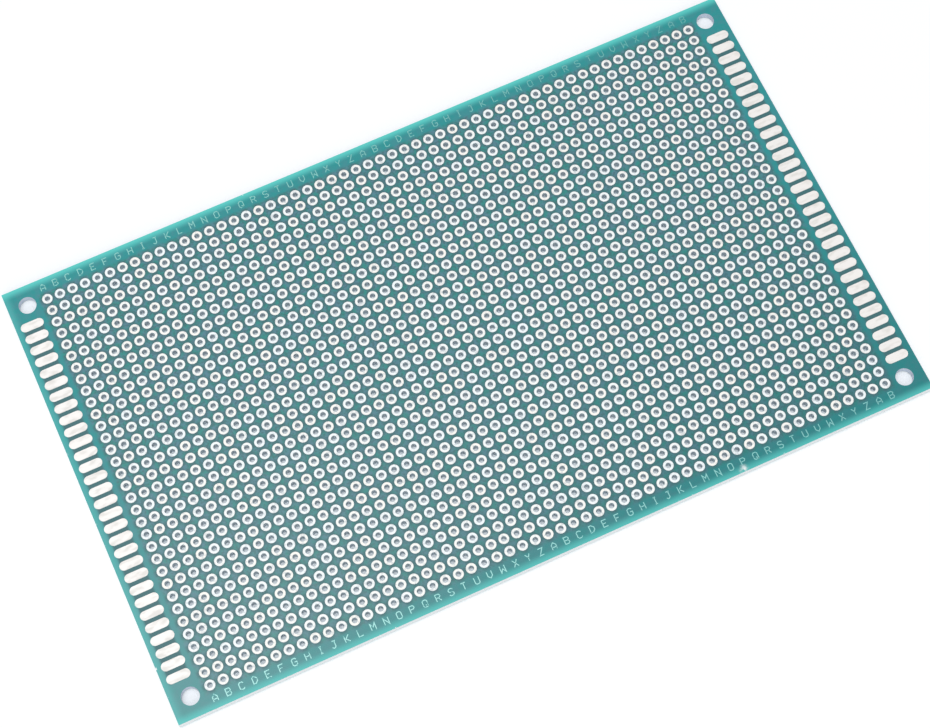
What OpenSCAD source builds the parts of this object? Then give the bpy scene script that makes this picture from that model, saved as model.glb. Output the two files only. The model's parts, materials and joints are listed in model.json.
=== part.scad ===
// Double-sided prototype board: a drilled substrate, a grid of plated-through
// solder pads, and a row of edge contacts at each short end on both faces.
// Millimetres. X runs along the board, Y across it and Z up through it.
// The origin is the middle of the substrate's lower face, where standoffs bear on it.

/* [Board] */
// Length of the board along X
board_length = 150; // [80:1:200]
// Width of the board along Y
board_width = 90; // [50:1:120]
// Thickness of the substrate between its metal faces
board_thickness = 1.6; // [0.8:0.1:3.2]

/* [Hole grid] */
// Distance from one hole to the next, along X and along Y
pitch = 2.54; // [2.5:0.01:5.08]
// Diameter of the open hole inside a plated barrel
hole_d = 1.0; // [0.6:0.05:1.4]
// Wall of the metal barrel that lines a hole
plating = 0.05; // [0.02:0.01:0.1]
// Outer diameter of the metal ring round a hole
pad_d = 2.0; // [1.65:0.05:2.2]
// Height of every ring and contact above the face of the substrate
metal_height = 0.05; // [0.03:0.01:0.2]
// Least bare strip between the outer rows of rings and a long edge
side_strip = 3; // [1:0.1:10]

/* [Edge contacts] */
// Length of a contact along X, over its round ends
contact_length = 4.5; // [3:0.1:8]
// Width of a contact along Y
contact_width = 1.75; // [1:0.05:2.3]
// Bare strip between the contacts and the short edge beside them
contact_inset = 0.95; // [0.5:0.05:4]
// Least gap between the contacts and the nearest column of rings
contact_gap = 1; // [0.3:0.1:4]

/* [Mounting holes] */
// Diameter of the four corner holes
mount_d = 3.4; // [2:0.1:5]
// Distance from a short edge to the centre of a corner hole
mount_inset_x = 3.8; // [3:0.1:10]
// Distance from a long edge to the centre of a corner hole
mount_inset_y = 4; // [3:0.1:10]
// Least bare substrate between a corner hole and any metal
mount_clearance = 1; // [0.3:0.1:3]

/* [Hidden] */
$fn = 48;
mask_colour = "#2f7f7c";
tin_colour = "#eef1f1";
contact_colour = "#f0ebe1";

// Levels through the thickness, from the metal under the substrate to the metal on it
lower_metal = -metal_height;
substrate_bottom = 0;
substrate_top = substrate_bottom + board_thickness;
upper_metal = substrate_top + metal_height;

// Radii of one plated hole
bore_r = hole_d / 2;
barrel_r = bore_r + plating;
pad_r = pad_d / 2;

// The grid is as many whole pitches as fit between the contacts and between the long edges
grid_length = board_length - 2 * (contact_inset + contact_length + contact_gap + pad_r);
grid_width = board_width - 2 * (side_strip + pad_r);
columns = floor(grid_length / pitch) + 1;
rows = floor(grid_width / pitch) + 1;

// Places of the corner holes and of the contacts' middle line
mount_x = board_length / 2 - mount_inset_x;
mount_y = board_width / 2 - mount_inset_y;
contact_x = board_length / 2 - contact_inset - contact_length / 2;

// A contact sits level with the gap between two rows, as far out as the corner holes let it
contact_reach = mount_y - mount_d / 2 - mount_clearance - contact_width / 2;
contact_ys = [
    for (gap = [1 : rows - 1])
        let (y = (row_y(gap) + row_y(gap + 1)) / 2)
            if (abs(y) <= contact_reach) y
];

ends = ["left", "right"];
faces = ["top", "bottom"];

// Row 1 lies along the far edge, and column 1 at the left end
function column_x(column) = (column - (columns + 1) / 2) * pitch;
function row_y(row) = ((rows + 1) / 2 - row) * pitch;

function row_name(row) = str("pad_row_", row < 10 ? "0" : "", row);
function contacts_name(end, face) = str("contacts_", end, "_", face);

// Places along one row whose ring stays clear of the corner holes
function hole_xs(row) = [
    for (column = [1 : columns])
        let (x = column_x(column))
            if (norm([mount_x - abs(x), mount_y - abs(row_y(row))])
                >= mount_d / 2 + mount_clearance + pad_r) x
];

// Round-ended strip lying along X, centred on the origin
module stadium(length, width) {
    straight = length - width;
    square([straight, width], center = true);
    for (side = [-1, 1])
        translate([side * straight / 2, 0]) circle(d = width);
}

// Outline of the board with its drilled holes
module drilled_outline() {
    difference() {
        square([board_length, board_width], center = true);
        for (row = [1 : rows])
            for (x = hole_xs(row))
                translate([x, row_y(row)]) circle(r = barrel_r);
        for (x = [-mount_x, mount_x], y = [-mount_y, mount_y])
            translate([x, y]) circle(d = mount_d);
    }
}

// Glass-fibre board under its solder mask
module substrate() {
    color(mask_colour)
        linear_extrude(board_thickness) drilled_outline();
}

// One plated-through hole: a ring on each face joined by the barrel, turned from one profile
module plated_hole() {
    rotate_extrude()
        polygon([
            [bore_r, lower_metal],
            [pad_r, lower_metal],
            [pad_r, substrate_bottom],
            [barrel_r, substrate_bottom],
            [barrel_r, substrate_top],
            [pad_r, substrate_top],
            [pad_r, upper_metal],
            [bore_r, upper_metal]
        ]);
}

// All plated holes of one row
module pad_row(row) {
    color(tin_colour)
        for (x = hole_xs(row))
            translate([x, row_y(row)]) plated_hole();
}

// The contacts of one end on one face of the substrate
module contacts(end, face) {
    x = end == "left" ? -contact_x : contact_x;
    z = face == "top" ? substrate_top : lower_metal;
    color(contact_colour)
        for (y = contact_ys)
            translate([x, y, z])
                linear_extrude(metal_height) stadium(contact_length, contact_width);
}

substrate();
for (row = [1 : rows])
    pad_row(row);
for (end = ends, face = faces)
    contacts(end, face);
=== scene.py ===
"""Finishes, printed letters, studio and camera of a prototype board, set round its CAD frame."""

import json
import math
import string

import bpy
import numpy as np
from mathutils import Matrix, Vector


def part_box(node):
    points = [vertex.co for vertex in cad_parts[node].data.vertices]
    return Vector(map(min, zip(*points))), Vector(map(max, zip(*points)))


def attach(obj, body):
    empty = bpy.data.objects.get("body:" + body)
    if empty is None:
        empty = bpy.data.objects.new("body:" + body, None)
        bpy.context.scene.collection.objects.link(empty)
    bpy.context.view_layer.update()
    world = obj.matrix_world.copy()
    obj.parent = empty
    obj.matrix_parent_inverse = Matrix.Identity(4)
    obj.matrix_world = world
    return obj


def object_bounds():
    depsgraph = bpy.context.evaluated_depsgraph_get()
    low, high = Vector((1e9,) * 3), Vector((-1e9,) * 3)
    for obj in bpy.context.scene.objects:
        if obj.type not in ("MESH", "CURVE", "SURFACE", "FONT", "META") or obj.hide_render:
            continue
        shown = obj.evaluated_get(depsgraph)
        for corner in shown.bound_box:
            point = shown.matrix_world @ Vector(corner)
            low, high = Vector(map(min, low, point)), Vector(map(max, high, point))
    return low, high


bl_info = {
    "name": "Prototype board",
    "version": (1, 0, 0),
    "blender": (4, 5, 0),
    "location": "3D View > Sidebar > Board",
    "description": "Dresses the CAD frame of a prototype board and sets its studio",
    "category": "Object",
}

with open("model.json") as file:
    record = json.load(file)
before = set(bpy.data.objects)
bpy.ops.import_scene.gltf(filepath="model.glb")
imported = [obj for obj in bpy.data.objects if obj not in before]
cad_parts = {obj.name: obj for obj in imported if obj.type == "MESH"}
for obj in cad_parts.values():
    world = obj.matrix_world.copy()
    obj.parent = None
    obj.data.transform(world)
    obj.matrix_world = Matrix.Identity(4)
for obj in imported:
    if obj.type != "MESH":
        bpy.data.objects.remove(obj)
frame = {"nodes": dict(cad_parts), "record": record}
CAD_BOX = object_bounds()

MM = 0.001
SUBSTRATE = "substrate"
PAD_ROWS = sorted(name for name in frame["nodes"] if name.startswith("pad_row_"))
CONTACT_GROUPS = sorted(name for name in frame["nodes"] if name.startswith("contacts_"))
MOUNTS = {mount["name"]: mount for mount in frame["record"]["mounts"]}

# Measures of the board in millimetres, read from the frame
BOARD_LOW, BOARD_HIGH = (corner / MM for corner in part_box(SUBSTRATE))
CONTACT_LOW, CONTACT_HIGH = (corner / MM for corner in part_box("contacts_right_top"))
FAR_ROW, NEAR_ROW = ([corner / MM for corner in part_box(PAD_ROWS[end])] for end in (0, -1))
PITCH = (FAR_ROW[1].y - NEAR_ROW[1].y) / (len(PAD_ROWS) - 1)
COLUMNS = round((FAR_ROW[1].x - FAR_ROW[0].x) / PITCH)
PAD_R = FAR_ROW[1].x - (COLUMNS - 1) / 2 * PITCH
BORE_R = MOUNTS["lead_hole"]["dims"]["r_mm"]
GRID_HALF = (COLUMNS * PITCH / 2, len(PAD_ROWS) * PITCH / 2)


def linear(code):
    """The linear RGBA of an sRGB hex colour such as #2f7f7c."""
    srgb = np.array([int(code[i : i + 2], 16) for i in (1, 3, 5)]) / 255
    rgb = np.where(srgb <= 0.04045, srgb / 12.92, ((srgb + 0.055) / 1.055) ** 2.4)
    return (*rgb.tolist(), 1.0)


def colour(name, code, description):
    """A colour property whose default is an sRGB hex value."""
    return bpy.props.FloatVectorProperty(
        name=name, description=description, subtype="COLOR", size=4, min=0, max=1, default=linear(code)
    )


def length(name, value_mm, description):
    """A length property whose default is given in millimetres."""
    return bpy.props.FloatProperty(
        name=name, description=description, default=value_mm * MM, unit="LENGTH", precision=5
    )


def place(name, values_mm, description):
    """A point property whose default is given in millimetres."""
    return bpy.props.FloatVectorProperty(
        name=name,
        description=description,
        default=[value * MM for value in values_mm],
        subtype="TRANSLATION",
        unit="LENGTH",
        precision=5,
    )


def share(name, value, description):
    """A plain factor property."""
    return bpy.props.FloatProperty(name=name, description=description, default=value, min=0, subtype="FACTOR")


class BoardFinish(bpy.types.PropertyGroup):
    """Colours of the board's own surfaces."""

    mask_grid: colour("Mask in the grid", "#288b85", "Solder mask between the pads")
    mask_cool: colour("Cool mask", "#528293", "Bluer patches of the mask between the pads")
    # Painted sheen: pale mask painted towards the near left corner, where a lamp's sheen falls
    mask_painted_sheen: colour("Pale mask", "#79a3a2", "Thin mask towards the near left corner")
    # Painted shade: deep mask painted towards the near right corner, away from that sheen
    mask_painted_shade: colour("Deep mask", "#0a6163", "Thick mask towards the near right corner")
    mask_margin: colour("Mask on the margins", "#1e9193", "Solder mask outside the grid")
    # Painted glow: paler mask at the edges, for light passing through the thin film
    mask_painted_glow: colour("Mask at the edge", "#58cfc9", "Thin mask that lets light through at the edge")
    mask_dull: colour("Dull mask", "#3a666b", "Thin mask in the webs between neighbouring pads")
    mask_slot: colour("Mask between contacts", "#3a6b70", "Dull mask in the narrow gaps between the contacts")
    laminate_core: colour("Laminate core", "#f9fbfd", "Cut glass-fibre edge")
    laminate_ply: colour("Laminate plies", "#e4ebf1", "Resin lines between the plies at a cut edge")
    # Painted shade: the glass fibre inside the corner holes is painted darker and cooler
    drilled_wall_painted_shade: colour("Drilled wall", "#d4deec", "Glass fibre inside the corner holes")
    tin: colour("Tin", "#e3e8ea", "Tinned rings")
    tin_warm: colour("Warm tin", "#e9e7e2", "Rings whose tin froze warmer in tone")
    # Darker rims of a ring: thin tin, and painted shade where the domed tin turns down; also the ripples
    tin_thin_and_rim_shade: colour("Tin rim", "#bcc3c7", "Thin tin at the rims of a ring")
    # Painted shade: the inside of the plated holes is painted darker and cooler than the rings
    barrel_painted_shade: colour("Barrel", "#cbd4d9", "Inside of the plated holes")
    contact: colour("Contacts", "#e1dfdd", "Tinned contacts at both ends")
    contact_dull: colour("Dull tin", "#dad8d5", "Ripples where the tin of a contact froze dull")
    scuff_place: place("Scuff", (36.3, -44.5, 0), "Worn spot at the near edge, from the board's middle")


class BoardLegend(bpy.types.PropertyGroup):
    """Sizes and colours of the printed column letters."""

    letter_height: length("Letter height", 1.3, "Height of a column letter")
    stroke_width: length("Stroke width", 0.19, "Width of a printed line")
    ink_height: length("Ink height", 0.02, "How far the ink stands above the mask")
    near_line: length("Near line", -43.1, "Middle of the near letters, from the board's middle")
    far_line: length("Far line", 43.2, "Middle of the far letters, from the board's middle")
    near_ink: colour("Near ink", "#befcf6", "Letters along the near edge")
    far_ink: colour("Far ink", "#95d8d0", "Fainter letters along the far edge")


class BoardStage(bpy.types.PropertyGroup):
    """Camera and light of the studio."""

    camera_place: place(
        "Camera place", (-53.85, -141.33, 392.52), "Place of the camera from the middle of the upper face"
    )
    camera_aim: place(
        "Camera aim", (-1.31, -4.5, 0), "Middle of the view, from the middle of the upper face"
    )
    camera_roll: bpy.props.FloatProperty(
        name="Camera roll",
        description="Turn of the camera about its view, its top towards its right",
        subtype="ANGLE",
        default=math.radians(3.68),
    )
    camera_lens: bpy.props.FloatProperty(
        name="Camera lens",
        description="Focal length in millimetres",
        subtype="DISTANCE_CAMERA",
        default=87.33,
    )
    floor_colour: colour("Floor", "#e1e1e1", "Pale floor under the board")
    floor_glow: colour("Floor glow", "#eff7ff", "Cool tone of the light that lifts the floor")
    floor_lift: share("Floor lift", 0.34, "What brings the lit floor up to white for the eye")
    sky_strength: share("Sky strength", 0.62, "Light from all round, where 1 makes a white card white")
    front_strength: share("Front strength", 0.3, "Light of the front softbox on a card that faces it")
    top_strength: share("Top strength", 0.2, "Light of the overhead softbox on a card that faces it")


# Settings that many nodes share
SMOOTH_STEP = {"interpolation_type": "SMOOTHSTEP"}
COLOUR_MIX = {"data_type": "RGBA"}


def add_node(tree, kind, inputs=None, **settings):
    """Adds a shader node with its settings, fills inputs from values or outputs, and gives its outputs."""
    made = tree.nodes.new("ShaderNode" + kind)
    for name, value in settings.items():
        setattr(made, name, value)
    for key, value in (inputs or {}).items():
        if isinstance(value, bpy.types.NodeSocket):
            tree.links.new(value, made.inputs[key])
        else:
            made.inputs[key].default_value = value
    return made.outputs


def new_material(name):
    """An empty node material and its tree."""
    material = bpy.data.materials.new(name)
    material.use_nodes = True
    material.node_tree.nodes.clear()
    return material, material.node_tree


def millimetres(tree):
    """The surface point in millimetres of the board's own frame."""
    point = add_node(tree, "TexCoord")["Object"]
    return add_node(tree, "VectorMath", {0: point, "Scale": 1 / MM}, operation="SCALE")[0]


def grid_cell(tree, point):
    """The point counted in pitches, so that each hole lies in the middle of a whole cell."""
    half = (0.5 * (COLUMNS % 2), 0.5 * (len(PAD_ROWS) % 2), 0)
    per_pitch = (1 / PITCH, 1 / PITCH, 0)
    return add_node(tree, "VectorMath", {0: point, 1: per_pitch, 2: half}, operation="MULTIPLY_ADD")[0]


def hole_radius(tree, cell):
    """Distance in millimetres from the nearest hole's axis: the length of the cell's fraction less a half."""
    part = add_node(tree, "VectorMath", {0: cell}, operation="FRACTION")[0]
    pitch, half = (PITCH, PITCH, 0), (-PITCH / 2, -PITCH / 2, 0)
    offset = add_node(tree, "VectorMath", {0: part, 1: pitch, 2: half}, operation="MULTIPLY_ADD")[0]
    return add_node(tree, "VectorMath", {0: offset}, operation="LENGTH")["Value"]


def edge_distances(tree, spot):
    """Distances in millimetres from the far, near and left edges of the board."""
    far = add_node(tree, "Math", {0: BOARD_HIGH.y, 1: spot["Y"]}, operation="SUBTRACT")[0]
    near = add_node(tree, "Math", {0: spot["Y"], 1: BOARD_LOW.y}, operation="SUBTRACT")[0]
    left = add_node(tree, "Math", {0: spot["X"], 1: BOARD_LOW.x}, operation="SUBTRACT")[0]
    return far, near, left


def mask_film(tree, point, finish):
    """The colour of the unworn mask: deep between the pads and dull in narrow places, with a painted glow at
    the edges and a painted sheen that falls off to painted shade along the near edge.
    """
    spot = add_node(tree, "SeparateXYZ", {0: point})
    reach = add_node(tree, "VectorMath", {0: point}, operation="ABSOLUTE")[0]
    reach = add_node(tree, "SeparateXYZ", {0: reach})

    # 1 in the grid of pads and 0 on the margins
    margin_start, grid_start = 0.5, -0.3
    past_ends = add_node(tree, "Math", {0: reach["X"], 1: GRID_HALF[0]}, operation="SUBTRACT")[0]
    past_sides = add_node(tree, "Math", {0: reach["Y"], 1: GRID_HALF[1]}, operation="SUBTRACT")[0]
    outside = add_node(tree, "Math", {0: past_ends, 1: past_sides}, operation="MAXIMUM")[0]
    in_grid = add_node(
        tree, "MapRange", {"Value": outside, "From Min": margin_start, "From Max": grid_start}, **SMOOTH_STEP
    )["Result"]

    # Patches of bluer mask about half a pitch across, faint on the margins
    patch_size, margin_share = PITCH / 2, 0.3
    clouds = add_node(tree, "TexNoise", {"Vector": point, "Scale": 1 / patch_size, "Detail": 3.0})["Fac"]
    patches = add_node(
        tree, "MapRange", {"Value": clouds, "From Min": 0.36, "From Max": 0.64}, **SMOOTH_STEP
    )["Result"]
    faint = add_node(tree, "Math", {0: patches, 1: margin_share}, operation="MULTIPLY")[0]
    margin = add_node(
        tree, "Mix", {"Factor": faint, "A": finish.mask_margin, "B": finish.mask_cool}, **COLOUR_MIX
    )["Result"]
    tone = add_node(
        tree, "Mix", {"Factor": patches, "A": finish.mask_grid, "B": finish.mask_cool}, **COLOUR_MIX
    )["Result"]

    # Dull specks between the pads where glass yarns cross, drawn coarser than the yarns so that they show
    speck_size, speck_share = 0.5, 0.7
    grain = add_node(tree, "TexNoise", {"Vector": point, "Scale": 1 / speck_size, "Detail": 2.0})["Fac"]
    specks = add_node(
        tree,
        "MapRange",
        {"Value": grain, "From Min": 0.45, "From Max": 0.65, "To Max": speck_share},
        **SMOOTH_STEP,
    )["Result"]
    tone = add_node(tree, "Mix", {"Factor": specks, "A": tone, "B": finish.mask_dull}, **COLOUR_MIX)["Result"]
    tone = add_node(tree, "Mix", {"Factor": in_grid, "A": margin, "B": tone}, **COLOUR_MIX)["Result"]

    # Painted sheen along the near edge: the mask is painted paler towards the near left corner, where a
    # lamp's sheen falls, and deeper towards the near right one, as painted shade
    sheen_end, shade_end, sheen_share = 1.15 * BOARD_LOW.x, 0.6 * BOARD_HIGH.x, 0.4
    rightness = add_node(
        tree, "MapRange", {"Value": spot["X"], "From Min": sheen_end, "From Max": shade_end}, **SMOOTH_STEP
    )["Result"]
    nearness = add_node(
        tree,
        "MapRange",
        {"Value": spot["Y"], "From Min": BOARD_HIGH.y / 2, "From Max": BOARD_LOW.y, "To Max": sheen_share},
        **SMOOTH_STEP,
    )["Result"]
    sheen_and_shade = add_node(
        tree, "Mix", {"Factor": rightness, "A": finish.mask_painted_sheen, "B": finish.mask_painted_shade}, **COLOUR_MIX
    )["Result"]
    tone = add_node(tree, "Mix", {"Factor": nearness, "A": tone, "B": sheen_and_shade}, **COLOUR_MIX)["Result"]

    # Painted glow: the mask is painted paler along the far, near and left edges, as light passing through the
    # thin film would show, each up to its own strength
    glow_depth, glow_strengths = 1.8, (1.0, 0.7, 0.4)
    for strength, from_edge in zip(glow_strengths, edge_distances(tree, spot)):
        glow = add_node(
            tree,
            "MapRange",
            {"Value": from_edge, "From Min": glow_depth, "From Max": 0.0, "To Max": strength},
            **SMOOTH_STEP,
        )["Result"]
        tone = add_node(
            tree, "Mix", {"Factor": glow, "A": tone, "B": finish.mask_painted_glow}, **COLOUR_MIX
        )["Result"]

    # Dull gaps between the contacts, fading towards the contacts' ends and past the last contact
    end_fade, row_fade = 0.6, 0.2
    contact_line = (CONTACT_LOW.x + CONTACT_HIGH.x) / 2
    contact_half = (CONTACT_HIGH.x - CONTACT_LOW.x) / 2
    across = add_node(tree, "Math", {0: reach["X"], 1: contact_line}, operation="SUBTRACT")[0]
    across = add_node(tree, "Math", {0: across}, operation="ABSOLUTE")[0]
    between = add_node(
        tree,
        "MapRange",
        {"Value": across, "From Min": contact_half, "From Max": contact_half - end_fade},
        **SMOOTH_STEP,
    )["Result"]
    beside = add_node(
        tree,
        "MapRange",
        {"Value": reach["Y"], "From Min": CONTACT_HIGH.y + row_fade, "From Max": CONTACT_HIGH.y - row_fade},
        **SMOOTH_STEP,
    )["Result"]
    gaps = add_node(tree, "Math", {0: between, 1: beside}, operation="MULTIPLY")[0]
    tone = add_node(tree, "Mix", {"Factor": gaps, "A": tone, "B": finish.mask_slot}, **COLOUR_MIX)["Result"]

    # Dull webs between neighbouring pads: the cosines of the cell along X and along Y add up to 0 in the
    # middle of a web, and to 2 midway between four pads
    open_crest, web_share = 1.6, 0.75
    turns = add_node(
        tree, "VectorMath", {0: grid_cell(tree, point), "Scale": 2 * math.pi}, operation="SCALE"
    )[0]
    crests = add_node(tree, "VectorMath", {0: turns}, operation="COSINE")[0]
    crests = add_node(tree, "SeparateXYZ", {0: crests})
    crests = add_node(tree, "Math", {0: crests["X"], 1: crests["Y"]}, operation="ADD")[0]
    webs = add_node(
        tree,
        "MapRange",
        {"Value": crests, "From Min": open_crest, "From Max": 0.0, "To Max": web_share},
        **SMOOTH_STEP,
    )["Result"]
    webs = add_node(tree, "Math", {0: webs, 1: in_grid}, operation="MULTIPLY")[0]
    return add_node(tree, "Mix", {"Factor": webs, "A": tone, "B": finish.mask_dull}, **COLOUR_MIX)["Result"]


def mask_wear(tree, point, finish):
    """1 where the pale laminate shows through the mask: chips along the edges and one worn spot."""
    flake_size, chip_depth, scuff_size = 0.7, 0.3, 1.2
    flakes = add_node(tree, "TexNoise", {"Vector": point, "Scale": 1 / flake_size, "Detail": 4.0})["Fac"]
    far, near, left = edge_distances(tree, add_node(tree, "SeparateXYZ", {0: point}))
    rim = add_node(tree, "Math", {0: far, 1: near}, operation="MINIMUM")[0]
    rim = add_node(tree, "Math", {0: rim, 1: left}, operation="MINIMUM")[0]
    rim = add_node(
        tree, "MapRange", {"Value": rim, "From Min": chip_depth, "From Max": chip_depth / 3}, **SMOOTH_STEP
    )["Result"]
    chips = add_node(
        tree, "MapRange", {"Value": flakes, "From Min": 0.66, "From Max": 0.74}, **SMOOTH_STEP
    )["Result"]
    chips = add_node(tree, "Math", {0: chips, 1: rim}, operation="MULTIPLY")[0]

    scuff_place = (finish.scuff_place[0] / MM, finish.scuff_place[1] / MM, BOARD_HIGH.z)
    scuff = add_node(tree, "VectorMath", {0: point, 1: scuff_place}, operation="DISTANCE")["Value"]
    scuff = add_node(
        tree, "MapRange", {"Value": scuff, "From Min": scuff_size, "From Max": 0.0}, **SMOOTH_STEP
    )["Result"]
    ragged = add_node(
        tree, "MapRange", {"Value": flakes, "From Min": 0.3, "From Max": 0.6}, **SMOOTH_STEP
    )["Result"]
    scuff = add_node(tree, "Math", {0: scuff, 1: ragged}, operation="MULTIPLY")[0]
    return add_node(tree, "Math", {0: chips, 1: scuff}, operation="MAXIMUM")[0]


def cut_laminate(tree, point, finish):
    """The colour of cut laminate: pale plies of glass cloth with resin between, and painted shade where
    drilled.
    """
    ply_height, stain_size = 0.2, 0.6
    height = add_node(tree, "SeparateXYZ", {0: point})["Z"]
    plies = add_node(tree, "Math", {0: height, 1: 2 * math.pi / ply_height}, operation="MULTIPLY")[0]
    plies = add_node(tree, "Math", {0: plies}, operation="SINE")[0]
    plies = add_node(tree, "MapRange", {"Value": plies, "From Min": -1.0}, **SMOOTH_STEP)["Result"]
    stains = add_node(tree, "TexNoise", {"Vector": point, "Scale": 1 / stain_size, "Detail": 4.0})["Fac"]
    resin = add_node(tree, "Math", {0: plies, 1: stains}, operation="MULTIPLY")[0]
    tone = add_node(
        tree, "Mix", {"Factor": resin, "A": finish.laminate_core, "B": finish.laminate_ply}, **COLOUR_MIX
    )["Result"]

    # 1 on the drilled walls, which lie inside the outline, and 0 on the sawn edges; the drilled walls take a
    # darker, cooler colour, painted shade inside the corner holes
    edge_width = 1.0
    reach = add_node(tree, "VectorMath", {0: point}, operation="ABSOLUTE")[0]
    reach = add_node(tree, "SeparateXYZ", {0: reach})
    in_ends = add_node(tree, "Math", {0: reach["X"], 1: BOARD_HIGH.x - edge_width}, operation="LESS_THAN")[0]
    in_sides = add_node(tree, "Math", {0: reach["Y"], 1: BOARD_HIGH.y - edge_width}, operation="LESS_THAN")[0]
    drilled = add_node(tree, "Math", {0: in_ends, 1: in_sides}, operation="MULTIPLY")[0]
    return add_node(
        tree, "Mix", {"Factor": drilled, "A": tone, "B": finish.drilled_wall_painted_shade}, **COLOUR_MIX
    )["Result"]


def glass_weave(tree, point):
    """The faint relief of the glass cloth: sines along both ways of its yarns, multiplied, on a swell."""
    yarn_pitch, swell_size, relief_height = 0.6, 1.5, 0.002
    yarns = add_node(tree, "VectorMath", {0: point, "Scale": 2 * math.pi / yarn_pitch}, operation="SCALE")[0]
    yarns = add_node(tree, "VectorMath", {0: yarns}, operation="SINE")[0]
    yarns = add_node(tree, "SeparateXYZ", {0: yarns})
    weave = add_node(tree, "Math", {0: yarns["X"], 1: yarns["Y"]}, operation="MULTIPLY")[0]
    swell = add_node(tree, "TexNoise", {"Vector": point, "Scale": 1 / swell_size, "Detail": 2.0})["Fac"]
    relief = add_node(tree, "Math", {0: weave, 1: swell}, operation="ADD")[0]
    return add_node(tree, "Bump", {"Strength": 1.0, "Distance": relief_height * MM, "Height": relief})[0]


def solder_mask_material(finish):
    """Liquid photo-imaged solder mask, cured satin over glass-fibre laminate.

    The mask is deep between the pads, dull in the webs between neighbouring pads and painted paler
    towards the cut edges, a painted glow of light passing through it. Its tone changes in small patches,
    and along the near edge it carries a painted sheen, pale towards the left, that falls off to painted
    shade, deep towards the right. The glass cloth under it shows as a faint weave in the gloss. The sawn
    edges show the pale plies, matt, under a thin skin of mask, and the drilled corner holes are painted
    cooler and darker as painted shade.
    """
    material, tree = new_material("solder_mask_on_glass_fibre")
    point = millimetres(tree)
    film, worn = mask_film(tree, point, finish), mask_wear(tree, point, finish)
    tone = add_node(
        tree, "Mix", {"Factor": worn, "A": film, "B": finish.laminate_core}, **COLOUR_MIX
    )["Result"]

    # 1 on cut laminate and 0 on the mask over it
    skin = 0.03
    middle, reach = (BOARD_HIGH.z + BOARD_LOW.z) / 2, (BOARD_HIGH.z - BOARD_LOW.z) / 2 - skin
    height = add_node(tree, "SeparateXYZ", {0: point})["Z"]
    cut = add_node(tree, "Math", {0: height, 1: middle, 2: reach}, operation="COMPARE")[0]
    plies = cut_laminate(tree, point, finish)
    tone = add_node(tree, "Mix", {"Factor": cut, "A": tone, "B": plies}, **COLOUR_MIX)["Result"]
    rough = add_node(tree, "MapRange", {"Value": cut, "To Min": 0.38, "To Max": 0.8})["Result"]
    weave = glass_weave(tree, point)
    shader = add_node(
        tree, "BsdfPrincipled", {"Base Color": tone, "Roughness": rough, "Normal": weave, "IOR": 1.42}
    )[0]
    add_node(tree, "OutputMaterial", {"Surface": shader})
    return material


def tinned_ring_material(finish):
    """Copper rings and barrels tinned by hot-air levelling: bright, painted darker at the rims, for thin tin
    and for painted shade where the domed tin turns down, and painted darker inside as painted shade.

    Each ring froze by itself, so its tone changes a little from hole to hole and round the ring.
    """
    material, tree = new_material("hot_tinned_copper_rings")
    point = millimetres(tree)
    cell = grid_cell(tree, point)
    hole = add_node(tree, "VectorMath", {0: cell}, operation="FLOOR")[0]
    chance = add_node(tree, "TexWhiteNoise", {"Vector": hole})["Value"]
    tone = add_node(
        tree, "Mix", {"Factor": chance, "A": finish.tin, "B": finish.tin_warm}, **COLOUR_MIX
    )["Result"]

    rim_width, ripple_size, ripple_share = 0.1, 0.5, 0.6
    radius = hole_radius(tree, cell)
    # Rims painted darker: thin tin there, and painted shade where the domed tin turns down
    outer = add_node(
        tree, "MapRange", {"Value": radius, "From Min": PAD_R - rim_width, "From Max": PAD_R}, **SMOOTH_STEP
    )["Result"]
    inner = add_node(
        tree, "MapRange", {"Value": radius, "From Min": BORE_R + rim_width, "From Max": BORE_R}, **SMOOTH_STEP
    )["Result"]
    rims = add_node(tree, "Math", {0: outer, 1: inner}, operation="MAXIMUM")[0]
    grain = add_node(tree, "TexNoise", {"Vector": point, "Scale": 1 / ripple_size, "Detail": 2.0})["Fac"]
    ripples = add_node(
        tree,
        "MapRange",
        {"Value": grain, "From Min": 0.5, "From Max": 0.7, "To Max": ripple_share},
        **SMOOTH_STEP,
    )["Result"]
    blend_share = add_node(tree, "Math", {0: rims, 1: ripples}, operation="MAXIMUM")[0]
    tone = add_node(tree, "Mix", {"Factor": blend_share, "A": tone, "B": finish.tin_thin_and_rim_shade}, **COLOUR_MIX)["Result"]

    # 1 on the wall of each plated hole, with a little slack for the facets of the mesh; there the tin is
    # painted darker and cooler, as painted shade inside the hole
    wall_r = BORE_R * 1.01
    inside = add_node(tree, "Math", {0: radius, 1: wall_r}, operation="LESS_THAN")[0]
    tone = add_node(tree, "Mix", {"Factor": inside, "A": tone, "B": finish.barrel_painted_shade}, **COLOUR_MIX)["Result"]
    shader = add_node(tree, "BsdfPrincipled", {"Base Color": tone, "Metallic": 1.0, "Roughness": 0.7})[0]
    add_node(tree, "OutputMaterial", {"Surface": shader})
    return material


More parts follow.
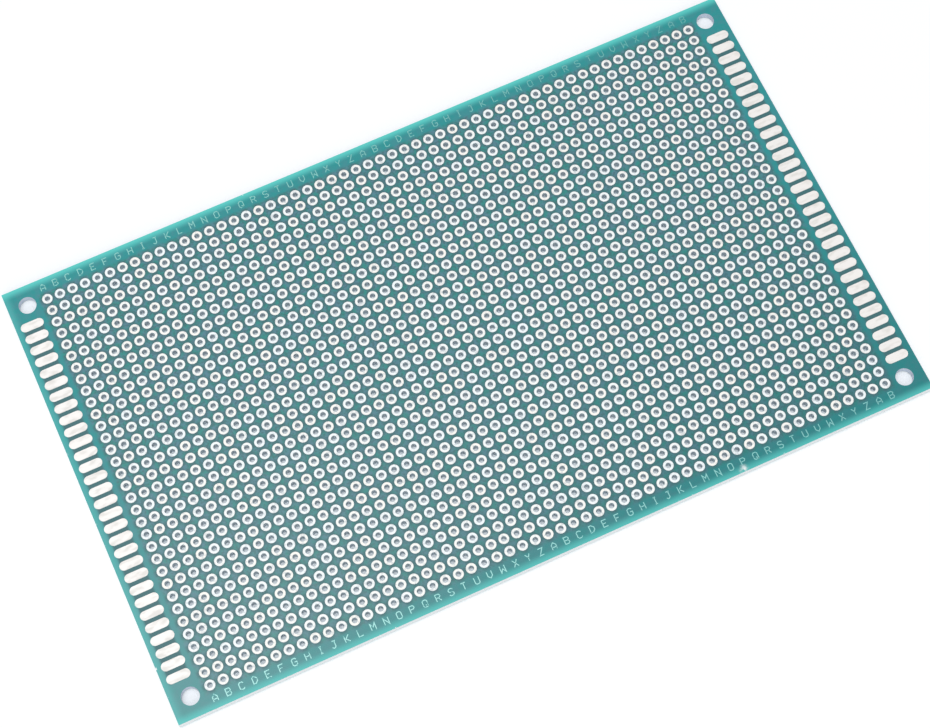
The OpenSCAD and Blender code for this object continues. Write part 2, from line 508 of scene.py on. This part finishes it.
def tinned_contact_material(finish):
    """Flat copper contacts tinned by hot-air levelling: bright, with dull ripples where the tin froze."""
    material, tree = new_material("hot_tinned_copper_contacts")
    point = millimetres(tree)
    # Ripples are drawn out along the contact, two and a half times as long as they are wide
    ripple_size, squeeze = 0.9, 0.4
    drawn_out = (squeeze / ripple_size, 1 / ripple_size, 1 / ripple_size)
    point = add_node(tree, "VectorMath", {0: point, 1: drawn_out}, operation="MULTIPLY")[0]
    grain = add_node(tree, "TexNoise", {"Vector": point, "Scale": 1.0, "Detail": 2.0})["Fac"]
    ripples = add_node(
        tree, "MapRange", {"Value": grain, "From Min": 0.42, "From Max": 0.7}, **SMOOTH_STEP
    )["Result"]
    tone = add_node(
        tree, "Mix", {"Factor": ripples, "A": finish.contact, "B": finish.contact_dull}, **COLOUR_MIX
    )["Result"]
    rough = add_node(tree, "MapRange", {"Value": ripples, "To Min": 0.62, "To Max": 0.72})["Result"]
    shader = add_node(tree, "BsdfPrincipled", {"Base Color": tone, "Metallic": 1.0, "Roughness": rough})[0]
    add_node(tree, "OutputMaterial", {"Surface": shader})
    return material


def ink_material(name, ink, mask):
    """Screen-printed epoxy ink: matt and thin in places, where the mask tints it, and fading into the mask
    towards the right end.
    """
    material, tree = new_material(name)
    point = millimetres(tree)
    grain_size, end_wear = 0.35, 0.6
    grain = add_node(tree, "TexNoise", {"Vector": point, "Scale": 1 / grain_size, "Detail": 2.0})["Fac"]
    worn = add_node(
        tree, "MapRange", {"Value": grain, "From Min": 0.5, "From Max": 0.75}, **SMOOTH_STEP
    )["Result"]
    along = add_node(tree, "SeparateXYZ", {0: point})["X"]
    # Fades into the mask towards the right end
    fading = add_node(
        tree,
        "MapRange",
        {"Value": along, "From Min": BOARD_LOW.x, "From Max": BOARD_HIGH.x, "To Max": end_wear},
        **SMOOTH_STEP,
    )["Result"]
    blend_share = add_node(tree, "Math", {0: worn, 1: fading}, operation="MAXIMUM")[0]
    tone = add_node(tree, "Mix", {"Factor": blend_share, "A": ink, "B": mask}, **COLOUR_MIX)["Result"]
    shader = add_node(tree, "BsdfPrincipled", {"Base Color": tone, "Roughness": 0.6, "IOR": 1.5})[0]
    add_node(tree, "OutputMaterial", {"Surface": shader})
    return material


# Column letters as single lines on a field 4 wide and 6 high: each pair of digits is a point
LETTER_FIELD = (4, 6)
LETTERS = {
    "A": "00-04-26-44-40 02-42",
    "B": "03-33-44-45-36-06-00-30-41-42-33",
    "C": "45-36-16-05-01-10-30-41",
    "D": "00-06-26-44-42-20-00",
    "E": "46-06-00-40 03-33",
    "F": "46-06-00 03-33",
    "G": "45-36-16-05-01-10-30-41-43-23",
    "H": "00-06 40-46 03-43",
    "I": "16-36 26-20 10-30",
    "J": "16-46 36-31-20-10-01",
    "K": "00-06 46-13-40",
    "L": "06-00-40",
    "M": "00-06-23-46-40",
    "N": "00-06-40-46",
    "O": "10-01-05-16-36-45-41-30-10",
    "P": "00-06-36-45-44-33-03",
    "Q": "10-01-05-16-36-45-41-30-10 22-40",
    "R": "00-06-36-45-44-33-03 23-40",
    "S": "01-10-30-41-42-33-13-04-05-16-36-45",
    "T": "06-46 26-20",
    "U": "06-01-10-30-41-46",
    "V": "06-02-20-42-46",
    "W": "06-00-23-40-46",
    "X": "00-46 06-40",
    "Y": "06-23-46 23-20",
    "Z": "06-46-00-40",
}


def letter_lines(letter, height):
    """The flat paths of a letter, centred on the origin."""
    middle = np.array(LETTER_FIELD) / 2
    for stroke in LETTERS[letter].split():
        points = np.array([[int(digit) for digit in pair] for pair in stroke.split("-")], float)
        yield (points - middle) * height / LETTER_FIELD[1]


def printed_line(path, width, low, high):
    """Vertices and faces of a raised line of ink along a flat path.

    The profile is a low bank, full width at its foot and two thirds at its top. It is carried along the
    path, square to it at the ends and along the mitre at the bends, where it widens by one over the cosine
    of half the bend. A path that comes back to its start has no ends.
    """
    closed = np.allclose(path[0], path[-1])
    step = np.diff(path, axis=0)
    step /= np.linalg.norm(step, axis=1, keepdims=True)
    side = np.column_stack([-step[:, 1], step[:, 0]])
    before = np.vstack([side[-1:] if closed else side[:1], side])
    after = np.vstack([side, side[:1] if closed else side[-1:]])
    mitre = (before + after) / (1 + np.sum(before * after, axis=1, keepdims=True))
    foot, top = 0.5, 0.33
    across = np.array([-foot, -top, top, foot]) * width
    level = np.array([low, high, high, low])
    flat = path[:, None, :] + mitre[:, None, :] * across[None, :, None]
    stack = np.broadcast_to(level[None, :, None], (*flat.shape[:2], 1))
    vertices = np.concatenate([flat, stack], axis=2).reshape(-1, 3)
    points, corners = flat.shape[:2]
    ring = np.arange(points - 1)[:, None] * corners
    turn = np.arange(corners)[None, :]
    onward = (turn + 1) % corners
    faces = np.stack([ring + turn, ring + onward, ring + corners + onward, ring + corners + turn], axis=2)
    faces = faces.reshape(-1, 4)
    if not closed:
        last = (points - 1) * corners
        ends = np.array([[3, 2, 1, 0], [last, last + 1, last + 2, last + 3]])
        faces = np.vstack([faces, ends])
    return vertices, faces


def letter_row(name, line, legend, material):
    """One row of column letters, a letter over each column, as one piece that rides on the board."""
    ink_depth = 0.005
    low = (BOARD_HIGH.z - ink_depth) * MM
    high = BOARD_HIGH.z * MM + legend.ink_height
    vertices, faces, count = [], [], 0
    for column in range(COLUMNS):
        letter = string.ascii_uppercase[column % len(string.ascii_uppercase)]
        middle = np.array([(column - (COLUMNS - 1) / 2) * PITCH * MM, line])
        for path in letter_lines(letter, legend.letter_height):
            points, quads = printed_line(path + middle, legend.stroke_width, low, high)
            vertices.append(points)
            faces.append(quads + count)
            count += len(points)
    mesh = bpy.data.meshes.new(name)
    mesh.from_pydata(np.vstack(vertices), [], np.vstack(faces))
    mesh.materials.append(material)
    piece = bpy.data.objects.new(name, mesh)
    bpy.context.scene.collection.objects.link(piece)
    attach(piece, "root")


def dress(nodes, material):
    """Gives CAD nodes a material in place of the plain one they came with."""
    for name in nodes:
        mesh = frame["nodes"][name].data
        mesh.materials.clear()
        mesh.materials.append(material)


class BOARD_OT_substrate(bpy.types.Operator):
    """Gives the drilled substrate its solder mask and its cut edges."""

    bl_idname = "board.substrate"
    bl_label = "Finish the substrate"

    def execute(self, context):
        dress([SUBSTRATE], solder_mask_material(context.scene.board_finish))
        return {"FINISHED"}


class BOARD_OT_pads(bpy.types.Operator):
    """Tins the rings and barrels of every row of plated holes."""

    bl_idname = "board.pads"
    bl_label = "Tin the pads"

    def execute(self, context):
        dress(PAD_ROWS, tinned_ring_material(context.scene.board_finish))
        return {"FINISHED"}


class BOARD_OT_contacts(bpy.types.Operator):
    """Tins the edge contacts of both ends."""

    bl_idname = "board.contacts"
    bl_label = "Tin the contacts"

    def execute(self, context):
        dress(CONTACT_GROUPS, tinned_contact_material(context.scene.board_finish))
        return {"FINISHED"}


class BOARD_OT_legend(bpy.types.Operator):
    """Prints a letter over each column, along the near and the far edge."""

    bl_idname = "board.legend"
    bl_label = "Print the letters"

    def execute(self, context):
        legend = context.scene.board_legend
        mask = context.scene.board_finish.mask_margin
        near_ink = ink_material("epoxy_ink_near", legend.near_ink, mask)
        far_ink = ink_material("epoxy_ink_far", legend.far_ink, mask)
        letter_row("legend_near", legend.near_line, legend, near_ink)
        letter_row("legend_far", legend.far_line, legend, far_ink)
        return {"FINISHED"}


def looking(start, aim, roll):
    """The placement of a camera or lamp at start that faces aim, its top turned by roll towards its right."""
    forward = (aim - start).normalized()
    level_right = forward.cross(Vector((0, 0, 1))).normalized()
    level_up = level_right.cross(forward)
    up = level_up * math.cos(roll) + level_right * math.sin(roll)
    matrix = Matrix((forward.cross(up), up, -forward)).transposed().to_4x4()
    matrix.translation = start
    return matrix


def seen(tree):
    """1 for what the camera, a mirror or glass sees, and 0 for light on its way to a surface."""
    rays = add_node(tree, "LightPath")
    mirrored = add_node(
        tree, "Math", {0: rays["Is Glossy Ray"], 1: rays["Is Transmission Ray"]}, operation="MAXIMUM"
    )[0]
    return add_node(tree, "Math", {0: rays["Is Camera Ray"], 1: mirrored}, operation="MAXIMUM")[0]


def studio_sky(strength):
    """White all round for the eye, and an even dimmer light for the board."""
    world = bpy.data.worlds.new("studio_sky")
    world.use_nodes = True
    tree = world.node_tree
    tree.nodes.clear()
    level = add_node(tree, "MapRange", {"Value": seen(tree), "To Min": strength, "To Max": 1.0})["Result"]
    light = add_node(tree, "Background", {"Color": (1, 1, 1, 1), "Strength": level})[0]
    add_node(tree, "OutputWorld", {"Surface": light})
    return world


def floor_material(tone, glow_tone, lift):
    """Matt pale card that keeps the board's soft shadow, and is lifted to white where nothing shades it."""
    material, tree = new_material("matt_pale_card")
    card = add_node(tree, "BsdfDiffuse", {"Color": tone})[0]
    glow = add_node(tree, "MapRange", {"Value": seen(tree), "To Max": lift})["Result"]
    glow = add_node(tree, "Emission", {"Color": glow_tone, "Strength": glow})[0]
    surface = add_node(tree, "AddShader", {0: card, 1: glow})[0]
    add_node(tree, "OutputMaterial", {"Surface": surface})
    return material


def softbox(name, start, aim, size, strength):
    """A square area lamp that by itself lights a white card facing it at aim to the given strength.

    A lamp of power P at distance d gives such a card a brightness of P over pi squared times d squared.
    """
    lamp = bpy.data.lights.new(name, "AREA")
    lamp.shape = "SQUARE"
    lamp.size = size
    lamp.energy = strength * (math.pi * (start - aim).length) ** 2
    holder = bpy.data.objects.new(name, lamp)
    holder.matrix_world = looking(start, aim, 0)
    bpy.context.scene.collection.objects.link(holder)


class BOARD_OT_stage(bpy.types.Operator):
    """Sets the floor, the soft light and the camera."""

    bl_idname = "board.stage"
    bl_label = "Set the studio"

    def execute(self, context):
        scene = context.scene
        stage = scene.board_stage
        scene.view_settings.view_transform = "Standard"
        scene.world = studio_sky(stage.sky_strength)

        # The floor is only as wide as its lift keeps it white to the eye
        floor_half = 0.25
        floor_gap = 0.1 * MM
        corners = np.array([[-1, -1], [1, -1], [1, 1], [-1, 1]]) * floor_half
        level = np.full((len(corners), 1), CAD_BOX[0].z - floor_gap)
        mesh = bpy.data.meshes.new("floor")
        mesh.from_pydata(np.hstack([corners, level]), [], [[0, 1, 2, 3]])
        card = floor_material(stage.floor_colour, stage.floor_glow, stage.floor_lift)
        mesh.materials.append(card)
        floor = bpy.data.objects.new("floor", mesh)
        scene.collection.objects.link(floor)

        middle = Vector((0, 0, BOARD_HIGH.z * MM))
        front_place, front_size = Vector((-0.25, -0.8, 0.75)), 1.0
        top_place, top_size = Vector((-0.156, 0.127, 0.9)), 0.4
        softbox("front_softbox", front_place, middle, front_size, stage.front_strength)
        softbox("top_softbox", top_place, middle, top_size, stage.top_strength)

        camera = bpy.data.objects.new("camera", bpy.data.cameras.new("camera"))
        camera.data.sensor_fit = "HORIZONTAL"
        camera.data.lens = stage.camera_lens
        camera.data.clip_start = 0.01
        camera.matrix_world = looking(
            middle + Vector(stage.camera_place), middle + Vector(stage.camera_aim), stage.camera_roll
        )
        scene.collection.objects.link(camera)
        scene.camera = camera
        return {"FINISHED"}


class BOARD_PT_panel(bpy.types.Panel):
    """Lists the steps that dress the board."""

    bl_idname = "BOARD_PT_panel"
    bl_label = "Prototype board"
    bl_space_type = "VIEW_3D"
    bl_region_type = "UI"
    bl_category = "Board"

    def draw(self, context):
        for operator in OPERATORS:
            self.layout.operator(operator.bl_idname)


SETTINGS = {"board_finish": BoardFinish, "board_legend": BoardLegend, "board_stage": BoardStage}
OPERATORS = (
    BOARD_OT_substrate,
    BOARD_OT_pads,
    BOARD_OT_contacts,
    BOARD_OT_legend,
    BOARD_OT_stage,
)
CLASSES = (*SETTINGS.values(), *OPERATORS, BOARD_PT_panel)


def register():
    for kind in CLASSES:
        bpy.utils.register_class(kind)
    for name, group in SETTINGS.items():
        setattr(bpy.types.Scene, name, bpy.props.PointerProperty(type=group))


def unregister():
    for name in SETTINGS:
        delattr(bpy.types.Scene, name)
    for kind in reversed(CLASSES):
        bpy.utils.unregister_class(kind)


def main():
    register()
    bpy.ops.board.substrate()
    bpy.ops.board.pads()
    bpy.ops.board.contacts()
    bpy.ops.board.legend()
    bpy.ops.board.stage()


if __name__ == "__main__":
    main()
